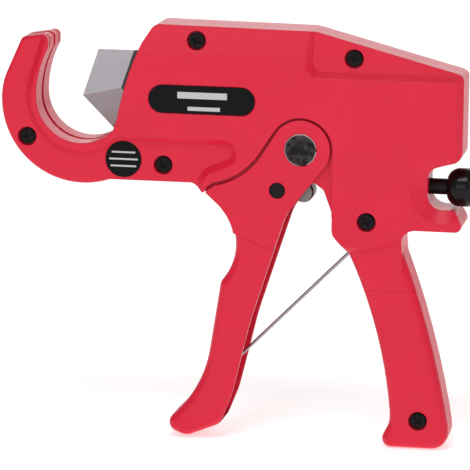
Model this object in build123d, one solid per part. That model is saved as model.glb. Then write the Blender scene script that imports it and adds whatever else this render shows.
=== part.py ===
"""PVC pipe cutter: a one-hand ratchet shear with a fixed hook, a sliding blade and a squeeze trigger.

Frame: the origin is the centre of the pipe seat, on the blade's plane.  +X runs from the hook to the
rear of the tool, +Z is up from the handle and +Y points to the far side.
"""
import math
import os

from build123d import *

# ---------------------------------------------------------------- driving dimensions, mm
CAPACITY = 42.0            # largest pipe the hook takes, outside diameter
THICKNESS = 26.0           # over both housing shells
PANEL_STEP = 3.0           # how far the main panel stands above the hook's face
GRIP_ROUND = 3.8           # rounding of the handle's edges
PANEL_BEVEL = 2.7          # bevel round the panel
GRIP_STEP = 2.0            # how far the main panel stands above the handle's face
SHELL_WALL = 3.0           # wall round the housing's cavity
CAVITY_HALF = 7.2          # half width of the cavity
HOOK_RADIUS = 38.2         # outside of the hook
TOP_Z = 35.2               # top edge of the housing
REAR_X = 176.0             # rear edge of the housing
GRIP_BOTTOM = -157.4       # bottom of the handle

PIVOT = (102.3, -20.0)     # trigger and ratchet wheel axis
PIVOT_SHAFT = 4.0          # radius of the pivot bolt's shaft
PIVOT_HEAD = 7.4           # radius of its head
HEAD_RADIUS = 13.6         # trigger head round the pivot
HEAD_GAP = 1.1             # trigger head to housing
CHEEK = 3.2                # trigger wall
EDGE_BREAK = 0.4           # chamfer round the name plate's seat
WEB_RADIUS = 16.7          # housing web under the trigger head
PAWL_PIN_REACH = 21.8      # pivot to the drive pawl's pin
PAWL_PIN_ANGLE = -118.7    # degrees, at rest
PAWL_PIN_RADIUS = 2.5
PAWL_PIN_HEAD = 3.7

BLADE_THICK = 3.0
BLADE_TIP = -1.8           # x of the point at rest
BLADE_TIP_Z = -0.6
BLADE_TOP = 21.1
BLADE_BOTTOM = -23.5
BLADE_FORWARD = 28.0       # travel from rest to the end of the cut
BLADE_BACK = 23.0          # travel from rest to fully open
SLOT_GAP = 0.3             # blade to slot, each side

PINION_RADIUS = 10.0       # pitch radius of the feed pinion
PINION_TEETH = 16
RACK_HALF = 3.0            # half thickness of the rack and the pinion
WHEEL_RADIUS = 14.0        # ratchet wheel over its teeth
WHEEL_TEETH = 24
WHEEL_Y = 3.4              # near face of the ratchet wheel and both pawls
WHEEL_THICK = 3.0
PAWL_LIFT = 0.3            # pawl nose clear of the ratchet wheel's tooth circle

HOLD_PIN = (125.5, -45.5)  # holding pawl's pin
HOLD_NOSE_ANGLE = -20.0    # where its nose meets the ratchet wheel
ROD_Z = -36.1              # axis of the release rod and its knob
ROD_RADIUS = 3.65
KNOB_RADIUS = 8.85
KNOB_X = 168.2             # front face of the knob
KNOB_LENGTH = 13.4
KNOB_FRONT_ROUND = 6.0
KNOB_REAR_ROUND = 4.0

SCREW_HEAD = 3.7           # radius of a screw head
SCREW_SHANK = 2.0
SCREW_SINK = 4.4           # radius of its counterbore
BOSS_RADIUS = 4.6
SCREWS = {                 # name: (x, z, face it is sunk in, as a depth below the panel)
    "hook": (-25.9, -19.2, PANEL_STEP),
    "top_front": (53.6, 28.3, 0.0),
    "bottom": (38.2, -30.0, PANEL_STEP),
    "top_rear": (125.8, 22.3, PANEL_STEP),
    "rear": (133.1, -52.0, 0.0),
    "grip": (158.4, -144.0, GRIP_STEP),
}

WIRE = 1.5                 # trigger spring wire diameter
COIL_RADIUS = 5.0          # mean radius of the trigger spring's coil
LEG_TIP = (63.6, -129.9)   # where the spring's long leg ends in the trigger

HEAD_PROUD = 0.4           # the pivot bolt's head above the trigger's cheek
THREAD_RADIUS = 2.5
GRIP_SINK = 0.6            # the trigger's grip below its head's face
TRIGGER_ROUND = 4.0
PIN_RADIUS = 2.0           # cross pins seated in both shells
PIN_HALF = 9.0
DOWEL_RADIUS = 2.0
DOWEL_HALF = 5.0
DOWELS = ((12.0, -31.6), (168.0, -50.3))
SCREW_HEAD_HEIGHT = 2.4
SINK_DEPTH = 3.0
SCREW_REACH = 8.0          # depth of the tapped hole in the far shell
MANDREL_RADIUS = 4.0       # the rear boss, which carries the trigger spring
RUNNING_GAP = 0.06

PLATE_CENTRE = (56.3, 1.1)
PLATE_LENGTH = 49.5
PLATE_HEIGHT = 13.1
PLATE_THICK = 0.6
PLATE_SINK = 0.8
DISC_CENTRE = (19.6, -28.0)
DISC_RADIUS = 8.5
DISC_THICK = 0.4

EDGE_LEAN = 7.3            # how far the upper edge leans back from the point
GROUND_WIDTH = 16.0        # width of the ground bevels
TANG_X = 50.0
TANG_END = 84.0
TANG_LOW = -5.0
TANG_TOP = 11.0
HOLDER_X = (60.0, 88.0)    # the holder's forked block
HOLDER_LOW = -7.0
HOLDER_TOP = 14.0
HOLDER_SCREWS = (66.0, 78.0)
HOLDER_SCREW_Z = 3.0
RACK_END = 137.0
RACK_TOP = 2.0
GUIDE_X = (31.6, 84.0)
LUG_X = 91.0
SPRING_POST = (152.0, 8.0)

PRESSURE = math.radians(20)
TOOTH_REACH = 0.85         # addendum, in modules
TOOTH_DEPTH = 1.1          # dedendum, in modules
TOOTH_PLAY = 0.16
HUB_RADIUS = 6.5
WHEEL_TOOTH = 1.6
DRIVE_NOSE_ANGLE = -84.0

HEEL = (102.8, -40.6)      # the drive pawl's steel roll, at rest
HEEL_RADIUS = 4.8
HEEL_REACH = 6.0
HEEL_STUD = 1.8
PAWL_SPRING_LENGTH = 4.0
COIL_LENGTH = 6.0
ANCHOR_LENGTH = 5.0

NOTCH_WALL_X = 157.3       # inner face of the wall the release rod runs through
CROSS_PIN_X = 123.2
CROSS_PIN_RADIUS = 1.25
TONGUE_END = 132.0
COLLAR_X = 141.0
COLLAR_THICK = 1.5
COLLAR_RADIUS = 5.4
ROD_STUD = 2.5
STUD_LENGTH = 8.0

HALF = THICKNESS / 2
SEAT = CAPACITY / 2
LOW_FACE = HALF - PANEL_STEP
GRIP_FACE = HALF - GRIP_STEP
WEB_FACE = HALF - CHEEK - 0.3
PX, PZ = PIVOT


# ---------------------------------------------------------------- drawing helpers
def polar(x, z, radius, angle):
    """The point at an angle in degrees on a circle round (x, z)."""
    turn = math.radians(angle)
    return (x + radius * math.cos(turn), z + radius * math.sin(turn))


def area(start, *steps):
    """A face bounded by steps: (x, z) is a straight run, (xm, zm, x, z) an arc through its middle."""
    edges = []
    here = start
    for step in steps:
        end = step[-2:]
        if len(step) == 4:
            edges.append(ThreePointArc(here, step[:2], end))
        else:
            edges.append(Line(here, end))
        here = end
    if math.dist(here, start) > 1e-6:
        edges.append(Line(here, start))
    return make_face(Wire(edges))


def rounded(face, *corners):
    """The face with each corner (x, z, radius) rounded."""
    for x, z, radius in corners:
        vertex = min(face.vertices(), key=lambda v: math.hypot(v.X - x, v.Y - z))
        face = fillet(vertex, radius)
    return face


def slab(face, low_y, high_y):
    """A face drawn in x and z, filled from low_y to high_y."""
    return Pos(0, low_y, 0) * extrude(Plane.XZ * face, low_y - high_y)


def disc(x, z, radius, low_y, high_y):
    """A round bar along Y."""
    return slab(Pos(x, z) * Circle(radius), low_y, high_y)


def ring(x, z, outer, inner, low_y, high_y):
    """A tube along Y."""
    return disc(x, z, outer, low_y, high_y) - disc(x, z, inner, low_y - 1, high_y + 1)


def bar_x(z, radius, low_x, high_x, y=0.0):
    """A round bar along X."""
    middle = (low_x + high_x) / 2
    return Pos(middle, y, z) * Rot(0, 90, 0) * Cylinder(radius, high_x - low_x)


def box_face(low_x, low_z, high_x, high_z):
    """A rectangle drawn in x and z."""
    return Pos((low_x + high_x) / 2, (low_z + high_z) / 2) * Rectangle(high_x - low_x, high_z - low_z)


# ---------------------------------------------------------------- outlines
def housing_outline():
    """The housing seen from the side, without the trigger's recess: hook, body and handle."""
    seat_left = (-SEAT, 0)
    seat_low = polar(0, 0, SEAT, -44)
    web_left = polar(PX, PZ, WEB_RADIUS, 225)
    web_low = polar(PX, PZ, WEB_RADIUS, 270)
    web_right = polar(PX, PZ, WEB_RADIUS, 292)
    face = area(
        seat_left,
        (-19.8, 10.5, -15.4, 22.5),
        (-15.4, 28.9),
        (-28.6, 26.6),
        (-37.0, 7.5),
        (*polar(0, -2, HOOK_RADIUS, 225), *polar(0, -2, HOOK_RADIUS, -69)),
        (52.3, -37.6),
        (57.0, -41.6),
        (62.0, -40.4),
        web_left,
        (*web_low, *web_right),
        (112.8, -38.7),
        (117.2, -50.5),
        (117.2, -58.6),
        (123.6, -65.5),
        (137.4, -101.3, 144.9, -141.0),
        (144.9, -145.8),
        (139.2, GRIP_BOTTOM),
        (173.0, GRIP_BOTTOM),
        (172.0, -146.0),
        (162.4, -103.9, 149.4, -65.5),
        (148.4, -54.9),
        (178.2, -54.9),
        (173.4, -45.4),
        (160.3, -45.4),
        (160.3, -27.2),
        (REAR_X, -22.4),
        (REAR_X, 16.4),
        (107.4, 34.3),
        (34.0, TOP_Z),
        (28.3, 26.5),
        (20.4, 5.5, 17.0, -9.5),
        seat_low,
        (*polar(0, 0, SEAT, -112), *seat_left),
    )
    return rounded(
        face,
        (-15.4, 28.9, 2.8), (-28.6, 26.6, 2.5), (-37.0, 7.5, 30.0),
        (52.3, -37.6, 4.0), (57.0, -41.6, 1.4),
        (112.8, -38.7, 3.0), (117.2, -50.5, 3.0), (117.2, -58.6, 6.0), (123.6, -65.5, 8.0),
        (144.9, -145.8, 9.0), (139.2, GRIP_BOTTOM, 4.0), (173.0, GRIP_BOTTOM, 8.0),
        (148.4, -54.9, 6.5), (178.2, -54.9, 2.8), (173.4, -45.4, 4.0),
        (160.3, -45.4, 7.0), (160.3, -27.2, 6.0), (REAR_X, -22.4, 5.0), (REAR_X, 16.4, 3.5),
        (107.4, 34.3, 22.0), (34.0, TOP_Z, 5.0), (28.3, 26.5, 12.0), (17.0, -9.5, 8.0),
    )


def panel_outline():
    """The foot of the raised panel: a lip round the pipe seat, then the body as far as the handle.
    It runs past the housing's own edge where the panel reaches that edge."""
    past_top = TOP_Z + 8
    past_rear = REAR_X + 3
    lip = SEAT + 5.0
    lip_start = 163
    lip_start_x, lip_start_z = polar(0, 0, lip, lip_start)
    tip_x = lip_start_x + (past_top - lip_start_z) / math.tan(math.radians(lip_start - 90))
    lip_end = -58
    lip_end_x, lip_end_z = polar(0, 0, lip, lip_end)
    strip_z = -19.4
    strip_x = lip_end_x + (strip_z - lip_end_z) * math.tan(math.radians(-lip_end))
    face = area(
        (tip_x, past_top),
        (lip_start_x, lip_start_z),
        (*polar(0, 0, lip, 225), lip_end_x, lip_end_z),
        (strip_x, strip_z),
        (70.2, strip_z),
        (70.2, -25.8),
        (56.0, -31.6),
        (50.4, -62.0),
        (112.0, -62.0),
        (132.0, -66.8, 152.0, -58.5),
        (past_rear, -58.5),
        (past_rear, -40.0),
        (REAR_X, -40.0),
        (REAR_X, 15.8),
        (106.4, 15.8),
        (107.8, past_top),
    )
    return rounded(face, (strip_x, strip_z, 6.0), (70.2, strip_z, 3.6), (70.2, -25.8, 3.0),
                   (56.0, -31.6, 8.0), (106.4, 15.8, 4.0))


def trigger_outline():
    """The trigger seen from the side: head, nose, finger groove and tip."""
    head_left = polar(PX, PZ, HEAD_RADIUS, 140)
    head_right = polar(PX, PZ, HEAD_RADIUS, -36)
    face = area(
        (58.2, -41.2),
        (62.4, -38.1),
        (75.8, -32.4, 85.3, -21.6),
        head_left,
        (*polar(PX, PZ, HEAD_RADIUS, 52), *head_right),
        (96.0, -50.2),
        (80.0, -100.6),
        (71.0, -139.0),
        (66.5, -150.5),
        (50.0, -157.3),
        (38.6, -152.4),
        (58.0, -133.5),
        (65.6, -83.2),
        (81.8, -62.5),
    )
    return rounded(
        face,
        (58.2, -41.2, 0.8), (62.4, -38.1, 2.0), (96.0, -50.2, 22.0), (80.0, -100.6, 120.0),
        (66.5, -150.5, 7.0), (50.0, -157.3, 7.0), (38.6, -152.4, 4.4), (58.0, -133.5, 55.0),
        (65.6, -83.2, 6.0), (81.8, -62.5, 26.0), (85.3, -21.6, 12.0),
    )


def recess_outline():
    """The shallow recess in the housing's face that the trigger's cheek turns in."""
    reach = HEAD_RADIUS + HEAD_GAP
    left = polar(PX, PZ, reach, 140)
    return area(
        (56.0, -44.0),
        (59.2, -39.0),
        (61.8, -36.7),
        (75.3, -30.9, 84.3, -20.8),
        left,
        (*polar(PX, PZ, reach, 70), PX + reach, PZ),
        (PX + reach, -64.0),
        (56.0, -64.0),
    )


def cavity_outline():
    """The hollow between the shells, drawn a wall inside the housing's outline."""
    body = rounded(
        area((31.4, 18.0), (40.0, TOP_Z - SHELL_WALL), (107.0, 31.2), (REAR_X - SHELL_WALL, 14.0),
             (REAR_X - SHELL_WALL, -21.5), (157.3, -26.0), (157.3, -50.0), (145.4, -57.9),
             (160.0, -110.0), (168.0, -142.0), (166.0, -154.4), (148.5, -154.4),
             (147.9, -141.0), (140.5, -101.0), (126.5, -64.5), (120.2, -57.5),
             (120.2, -46.0), (84.0, -46.0), (78.0, -31.2), (31.4, -28.0)),
        (107.0, 31.2, 15.0), (REAR_X - SHELL_WALL, 14.0, 3.0), (REAR_X - SHELL_WALL, -21.5, 3.0),
        (166.0, -154.4, 5.0), (145.4, -57.9, 4.0),
    )
    return body


def blade_slot_outline():
    """The slot between the hook's halves and through the body's front, with room for the whole cut."""
    return rounded(
        area((-24.6, 32.0), (-31.2, BLADE_TIP_Z), (-27.5, -13.0), (-14.0, -25.5),
             (20.0, BLADE_BOTTOM - 1.5), (48.0, BLADE_BOTTOM - 1.5), (48.0, BLADE_TOP + 0.8),
             (10.0, BLADE_TOP + 0.8), (10.0, 32.0)),
        (-31.2, BLADE_TIP_Z, 12.0), (-27.5, -13.0, 14.0), (-14.0, -25.5, 16.0),
    )


# ---------------------------------------------------------------- housing
def housing_half():
    """One die-cast half, on the near side of the blade's plane, before its screw holes."""
    outline = housing_outline()
    below_neck = box_face(100, -170, 190, -60)
    neck = box_face(110, -64, 148, -52)
    body = slab(outline - below_neck, -LOW_FACE, 0)
    body = fillet(hook_rim(body), 1.8)
    raised = slab(panel_outline(), -HALF, -LOW_FACE)
    raised = chamfer(panel_rim(raised), PANEL_BEVEL)
    raised = raised & slab(outline, -HALF, -LOW_FACE)
    handle = slab(outline & (below_neck + neck), -GRIP_FACE, 0)
    handle = fillet(grip_rim(handle), GRIP_ROUND)
    half = body + handle + raised
    tilt = Plane((60, -HALF, 22.5), x_dir=(1, 0, 0), z_dir=(0, -1, 0.12))
    half -= extrude(tilt * Pos(0, 12) * Rectangle(94, 24), 4)
    scoop = Pos(KNOB_X - 0.4, -HALF + 1.99, ROD_Z) * Rot(-90, 0, 0) * Cone(15.2, 8.2, 4.0)
    half -= scoop
    half -= slab(recess_outline(), -HALF - 1, -WEB_FACE)
    half -= slab(cavity_outline(), -CAVITY_HALF, 1)
    half += guides() + bosses()
    half -= slab(blade_slot_outline(), -BLADE_THICK / 2 - SLOT_GAP, 1)
    half -= disc(PX, PZ, PIVOT_SHAFT, -HALF, 1)
    half -= disc(*HOLD_PIN, PIN_RADIUS, -PIN_HALF, 1)
    half -= disc(*SPRING_POST, PIN_RADIUS, -PIN_HALF, 1)
    half -= bar_x(ROD_Z, ROD_RADIUS + RUNNING_GAP, HOLD_PIN[0], KNOB_X)
    half -= slab(wire_slot_outline(), -WIRE / 2 - 0.5, 1)
    for x, z in DOWELS:
        half -= disc(x, z, DOWEL_RADIUS, -DOWEL_HALF, 1)
    return half


def hook_rim(body):
    """The hook's outer edges on the low face, from its tip round to the body's bottom."""
    face_edges = body.edges().filter_by(lambda e: abs(e.center().Y + LOW_FACE) < 1e-6)
    return face_edges.filter_by(
        lambda e: math.hypot(e.center().X, e.center().Z + 2) > HOOK_RADIUS - 9 and e.center().X < -12)


def panel_rim(raised):
    """The panel's edges that the housing's own edge doesn't cut off."""
    rim = raised.faces().sort_by(Axis.Y)[0].edges()
    lip_and_strip = rim.filter_by(lambda e: e.center().X < 75 and -60 < e.center().Z < TOP_Z)
    neck = rim.filter_by(lambda e: e.center().Z < -63)
    rear = rim.filter_by(lambda e: 100 < e.center().X < REAR_X + 1 and -15 < e.center().Z < TOP_Z)
    return lip_and_strip + neck + rear


def grip_rim(handle):
    """The handle's edges on its face, apart from those at its neck."""
    face_edges = handle.edges().filter_by(lambda e: abs(e.center().Y + GRIP_FACE) < 1e-6)
    return face_edges.filter_by(lambda e: e.center().Z < -66)


def guides():
    """The channel that the blade holder slides in, cast inside each shell.  Its lower rail stops short
    of the rack, which hangs lower than the holder."""
    rail_end = HOLDER_X[1] - BLADE_FORWARD - 2
    side = slab(box_face(GUIDE_X[0], HOLDER_LOW - 4, GUIDE_X[1], HOLDER_TOP + 4),
                -CAVITY_HALF - 0.5, -RACK_HALF - SLOT_GAP)
    upper = box_face(GUIDE_X[0], HOLDER_TOP + SLOT_GAP, GUIDE_X[1], HOLDER_TOP + 4)
    lower = box_face(GUIDE_X[0], HOLDER_LOW - 4, rail_end, HOLDER_LOW - SLOT_GAP)
    return side + slab(upper + lower, -RACK_HALF - 1, -BLADE_THICK / 2 - SLOT_GAP)


def bosses():
    """A post round each screw, from the shell's wall to the parting plane."""
    posts = [disc(x, z, MANDREL_RADIUS if name == "rear" else BOSS_RADIUS, -CAVITY_HALF - 0.5, 0)
             for name, (x, z, sink) in SCREWS.items() if name != "hook"]
    return Part() + posts


def wire_slot_outline():
    """The slot in the handle's front that the trigger spring's leg swings in."""
    return area((112.0, -56.0), (126.0, -56.0), (140.0, -60.0), (138.0, -102.0), (122.0, -102.0),
                (108.0, -70.0))


def near_shell(half):
    """The near half, with the screws' counterbores and the seats of the two labels."""
    for x, z, depth in SCREWS.values():
        face = -HALF + depth
        half -= disc(x, z, SCREW_SINK, face - 3, face + SINK_DEPTH)
        half -= disc(x, z, SCREW_SHANK + 0.2, face, 1)
    half -= slab(Pos(*PLATE_CENTRE) * SlotOverall(PLATE_LENGTH, PLATE_HEIGHT), -HALF - 1,
                 -HALF + PLATE_SINK)
    half = chamfer(plate_seat_rim(half), EDGE_BREAK)
    half -= disc(*DISC_CENTRE, DISC_RADIUS, -LOW_FACE - 1, -LOW_FACE + DISC_THICK)
    return half


def plate_seat_rim(half):
    """The edges of the name plate's seat on the panel's face."""
    x, z = PLATE_CENTRE
    face_edges = half.edges().filter_by(lambda e: abs(e.center().Y + HALF) < 1e-6)
    return face_edges.filter_by(
        lambda e: abs(e.center().X - x) < PLATE_LENGTH / 2 and abs(e.center().Z - z) < PLATE_HEIGHT / 2 + 0.1)


def far_shell(half):
    """The far half: the near one's mirror image, with tapped holes in place of the counterbores."""
    half = mirror(half, about=Plane.XZ)
    for x, z, _ in SCREWS.values():
        half -= disc(x, z, SCREW_SHANK, -1, SCREW_REACH)
    return half


def shell_screws():
    """The six cross-recessed pan screws that hold the shells together."""
    screws = []
    for x, z, depth in SCREWS.values():
        seat = -HALF + depth + SINK_DEPTH
        top = seat - SCREW_HEAD_HEIGHT
        head = disc(x, z, SCREW_HEAD, top, seat)
        head = fillet(head.edges().group_by(Axis.Y)[0], 1.0)
        cross = Pos(x, z) * (Rectangle(0.9, 4.2) + Rectangle(4.2, 0.9))
        head -= slab(cross, top - 1, top + 1.3)
        screws.append(head + disc(x, z, SCREW_SHANK, seat, SCREW_REACH - 0.5))
    return Compound(children=[s.solid() for s in screws])


def dowels():
    """Two pins that locate the shells on each other."""
    return Compound(children=[disc(x, z, DOWEL_RADIUS, -DOWEL_HALF, DOWEL_HALF).solid()
                              for x, z in DOWELS])


def name_plate():
    """A thin oval plate let into the main panel."""
    inner = SlotOverall(PLATE_LENGTH - 0.4, PLATE_HEIGHT - 0.4)
    return slab(Pos(*PLATE_CENTRE) * inner, -HALF + PLATE_SINK - PLATE_THICK, -HALF + PLATE_SINK)


def safety_disc():
    """A thin round label let into the hook's face."""
    return disc(*DISC_CENTRE, DISC_RADIUS - 0.15, -LOW_FACE, -LOW_FACE + DISC_THICK)


# ---------------------------------------------------------------- pivot, ratchet wheel and feed
def pivot_bolt():
    """The main pivot: a wide flat head in the near cheek, a shaft through both webs, a threaded end."""
    head = disc(PX, PZ, PIVOT_HEAD, -HALF - HEAD_PROUD, -WEB_FACE)
    head = chamfer(head.edges().group_by(Axis.Y)[0], 0.5)
    return head + disc(PX, PZ, PIVOT_SHAFT, -WEB_FACE, WEB_FACE) + disc(PX, PZ, THREAD_RADIUS, WEB_FACE,
                                                                        HALF - 0.8)


def pivot_nut():
    """The round nut in the far cheek."""
    nut = disc(PX, PZ, PIVOT_HEAD, WEB_FACE, HALF)
    nut = chamfer(nut.edges().group_by(Axis.Y)[-1], 0.5)
    return nut - disc(PX, PZ, THREAD_RADIUS, WEB_FACE - 1, HALF + 1)


def involute(angle_radius, base_radius):
    """The angle an involute has turned through where it reaches a radius."""
    slope = math.acos(base_radius / angle_radius)
    return math.tan(slope) - slope


def feed_pinion():
    """The pinion on the pivot that feeds the rack, with hubs that centre it between the webs."""
    module = 2 * PINION_RADIUS / PINION_TEETH
    base = PINION_RADIUS * math.cos(PRESSURE)
    tip = PINION_RADIUS + TOOTH_REACH * module
    root = PINION_RADIUS - TOOTH_DEPTH * module
    half_pitch = (math.pi * module / 2 - TOOTH_PLAY) / (2 * PINION_RADIUS)
    centred = half_pitch + involute(PINION_RADIUS, base)
    radii = [base + (tip - base) * i / 4 for i in range(5)]
    flank = [(r, centred - involute(r, base)) for r in radii]
    points = []
    for tooth in range(PINION_TEETH):
        middle = math.pi / 2 + (tooth + 0.5) * 2 * math.pi / PINION_TEETH
        points.append((root, middle - centred))
        points += [(r, middle - a) for r, a in flank]
        points += [(r, middle + a) for r, a in reversed(flank)]
        points.append((root, middle + centred))
    corners = [(PX + r * math.cos(a), PZ + r * math.sin(a)) for r, a in points]
    gear = slab(area(corners[0], *corners[1:]), -RACK_HALF, RACK_HALF)
    gear += disc(PX, PZ, HUB_RADIUS, RACK_HALF, CAVITY_HALF - 0.2)
    gear += disc(PX, PZ, HUB_RADIUS, 0.2 - CAVITY_HALF, -RACK_HALF)
    return gear - disc(PX, PZ, PIVOT_SHAFT + RUNNING_GAP, -HALF, HALF)


def ratchet_wheel():
    """The saw-toothed wheel pressed on the pinion's far hub.  Its steep faces look clockwise."""
    pitch = 360 / WHEEL_TEETH
    corners = []
    for tooth in range(WHEEL_TEETH):
        start = DRIVE_NOSE_ANGLE + 4 + tooth * pitch
        corners.append(polar(PX, PZ, WHEEL_RADIUS - WHEEL_TOOTH, start))
        corners.append(polar(PX, PZ, WHEEL_RADIUS, start))
    wheel = slab(area(corners[0], *corners[1:]), WHEEL_Y, WHEEL_Y + WHEEL_THICK)
    return wheel - disc(PX, PZ, HUB_RADIUS, -HALF, HALF)


# ---------------------------------------------------------------- blade and rack
def blade():
    """The pointed blade, ground from both sides, with a narrower tang in the holder."""
    tip = (BLADE_TIP, BLADE_TIP_Z)
    lower = (BLADE_TIP + BLADE_TIP_Z - BLADE_BOTTOM, BLADE_BOTTOM)
    upper = (BLADE_TIP + EDGE_LEAN, BLADE_TOP)
    plate = slab(area(tip, lower, (TANG_X - 5, BLADE_BOTTOM), (TANG_X, TANG_LOW), (TANG_END, TANG_LOW),
                      (TANG_END, TANG_TOP), (TANG_X, TANG_TOP), (TANG_X - 5, BLADE_TOP), upper),
                 -BLADE_THICK / 2, BLADE_THICK / 2)
    for start, end in ((upper, tip), (tip, lower)):
        plate -= ground_bevel(start, end)
    for x in HOLDER_SCREWS:
        plate -= disc(x, HOLDER_SCREW_Z, SCREW_SHANK, -HALF, HALF)
    return plate


def ground_bevel(start, end):
    """What grinding takes off both sides of the blade along one edge."""
    length = math.dist(start, end)
    along = Vector(end[0] - start[0], 0, end[1] - start[1]).normalized()
    inward = Vector(-along.Z, 0, along.X)
    middle = Vector((start[0] + end[0]) / 2, 0, (start[1] + end[1]) / 2)
    half = BLADE_THICK / 2
    wedges = []
    for side in (-1, 1):
        section = Plane(middle - along * length, x_dir=inward, z_dir=along)
        y_sign = side * section.y_dir.Y
        corner = [(-6, y_sign * 0.08), (0, y_sign * 0.08), (GROUND_WIDTH, y_sign * half),
                  (GROUND_WIDTH, y_sign * (half + 2)), (-6, y_sign * (half + 2))]
        wedges.append(extrude(section * area(corner[0], *corner[1:]), 2 * length))
    return Part() + wedges


def blade_holder():
    """The steel slide: a forked block that grips the blade, and the rack behind it."""
    module = 2 * PINION_RADIUS / PINION_TEETH
    pitch = math.pi * module
    line = PZ + PINION_RADIUS
    root = line + TOOTH_DEPTH * module
    tip = line - TOOTH_REACH * module
    block = slab(box_face(HOLDER_X[0], HOLDER_LOW, HOLDER_X[1], HOLDER_TOP), -RACK_HALF, RACK_HALF)
    bar = slab(box_face(HOLDER_X[1] - 1, root, RACK_END, RACK_TOP), -RACK_HALF, RACK_HALF)
    lug = slab(box_face(HOLDER_X[1] - 1, RACK_TOP - 1, LUG_X + 2.5, SPRING_POST[1] + 3), -2, 2)
    slide = block + bar + lug
    flat = (pitch / 2 - TOOTH_PLAY) / 2
    slope = math.tan(PRESSURE)
    first = math.ceil((HOLDER_X[1] + 2 - PX) / pitch)
    last = math.floor((RACK_END - 2 - PX) / pitch)
    for tooth in range(first, last + 1):
        x = PX + tooth * pitch
        foot = flat + (root - line) * slope
        point = flat - (line - tip) * slope
        slide += slab(area((x - foot, root + 0.2), (x - foot, root), (x - point, tip), (x + point, tip),
                           (x + foot, root), (x + foot, root + 0.2)), -RACK_HALF, RACK_HALF)
    slide -= slab(box_face(HOLDER_X[0] - 1, TANG_LOW, TANG_END, TANG_TOP), -BLADE_THICK / 2,
                  BLADE_THICK / 2)
    for x in HOLDER_SCREWS:
        slide -= disc(x, HOLDER_SCREW_Z, SCREW_SHANK, -HALF, HALF)
    return slide - disc(LUG_X, SPRING_POST[1], 1.2, -HALF, HALF)


def holder_screws():
    """Two grub screws through the holder and the blade's tang."""
    return Compound(children=[disc(x, HOLDER_SCREW_Z, SCREW_SHANK, -RACK_HALF, RACK_HALF).solid()
                              for x in HOLDER_SCREWS])


def return_spring():
    """The extension spring that draws the blade back, hooked between the slide and its post."""
    z = SPRING_POST[1]
    low_x = LUG_X + 4.5
    high_x = SPRING_POST[0] - 5
    coil = bar_x(z, 3.5, low_x, high_x) - bar_x(z, 2.3, low_x - 1, high_x + 1)
    front = bar_x(z, 0.5, LUG_X + 2.6, low_x + 0.4, 2.9)
    rear = bar_x(z, 0.5, high_x - 0.4, SPRING_POST[0] - 2.1, 2.9)
    return coil + front + rear


def spring_post():
    """The cross pin that anchors the return spring."""
    return disc(*SPRING_POST, PIN_RADIUS, -PIN_HALF, PIN_HALF)


def rear_buffer():
    """The rubber block that stops the slide when the jaws open."""
    low_x = RACK_END + BLADE_BACK + SLOT_GAP
    return slab(box_face(low_x, root_of_rack() - 2, REAR_X - SHELL_WALL, RACK_TOP + 3), -CAVITY_HALF,
                CAVITY_HALF)


def root_of_rack():
    """Height of the rack's underside between its teeth."""
    return PZ + PINION_RADIUS + TOOTH_DEPTH * 2 * PINION_RADIUS / PINION_TEETH


# ---------------------------------------------------------------- trigger and drive pawl
def trigger():
    """The squeeze trigger: a casting of two cheeks joined by a front wall, open to the rear."""
    outline = trigger_outline()
    below = area((50.0, -52.5), (75.0, -61.0), (86.0, -65.6), (100.0, -66.6), (100, -170), (30, -170),
                 (30, -52.5))
    grip = slab(outline & below, -HALF + GRIP_SINK, HALF - GRIP_SINK)
    grip = fillet(trigger_rim(grip), TRIGGER_ROUND)
    body = grip + slab(outline - below, -HALF, HALF)
    core = offset(outline, -CHEEK)
    rear_x, rear_z = polar(0, 0, CHEEK * 1.06, -17.5)
    for hollow in (core, Pos(rear_x, rear_z) * core, box_face(50, -47, 130, 10)):
        body -= slab(hollow, CHEEK - HALF, HALF - CHEEK)
    body -= disc(PX, PZ, PIVOT_HEAD + RUNNING_GAP, -HALF - 1, HALF + 1)
    body -= disc(*pawl_pin_place(), PAWL_PIN_HEAD, -HALF - 1, 0)
    return body - disc(*pawl_pin_place(), PAWL_PIN_RADIUS, 0, HALF + 1)


def trigger_rim(grip):
    """The grip's edges along its front and tip, on both faces."""
    faces = grip.faces().filter_by(Axis.Y).sort_by(Axis.Y)
    edges = faces[0].edges() + faces[-1].edges()
    return edges.filter_by(lambda e: e.center().X < 85 + e.center().Z * 0.1 and e.center().Z < -62)


def pawl_pin_place():
    """Where the drive pawl's pin crosses the trigger, at rest."""
    return polar(PX, PZ, PAWL_PIN_REACH, PAWL_PIN_ANGLE)


def pawl_pin():
    """The drive pawl's pin, headed in the near cheek."""
    x, z = pawl_pin_place()
    head = disc(x, z, PAWL_PIN_HEAD, -HALF - 0.2, CHEEK - HALF)
    head = chamfer(head.edges().group_by(Axis.Y)[0], 0.4)
    return head + disc(x, z, PAWL_PIN_RADIUS, CHEEK - HALF, HALF)


def pawl_spacer():
    """The sleeve that keeps the pawl in line with the ratchet wheel."""
    x, z = pawl_pin_place()
    return ring(x, z, PAWL_PIN_RADIUS + 0.9, PAWL_PIN_RADIUS, CHEEK - HALF + 0.1, WHEEL_Y - 0.2)


def pawl_spring():
    """The small torsion spring round the spacer that lifts the pawl to the wheel."""
    x, z = pawl_pin_place()
    low_y = WHEEL_Y - 0.4 - PAWL_SPRING_LENGTH
    return ring(x, z, PAWL_PIN_RADIUS + 1.9, PAWL_PIN_RADIUS + 0.9, low_y, WHEEL_Y - 0.4)


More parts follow.
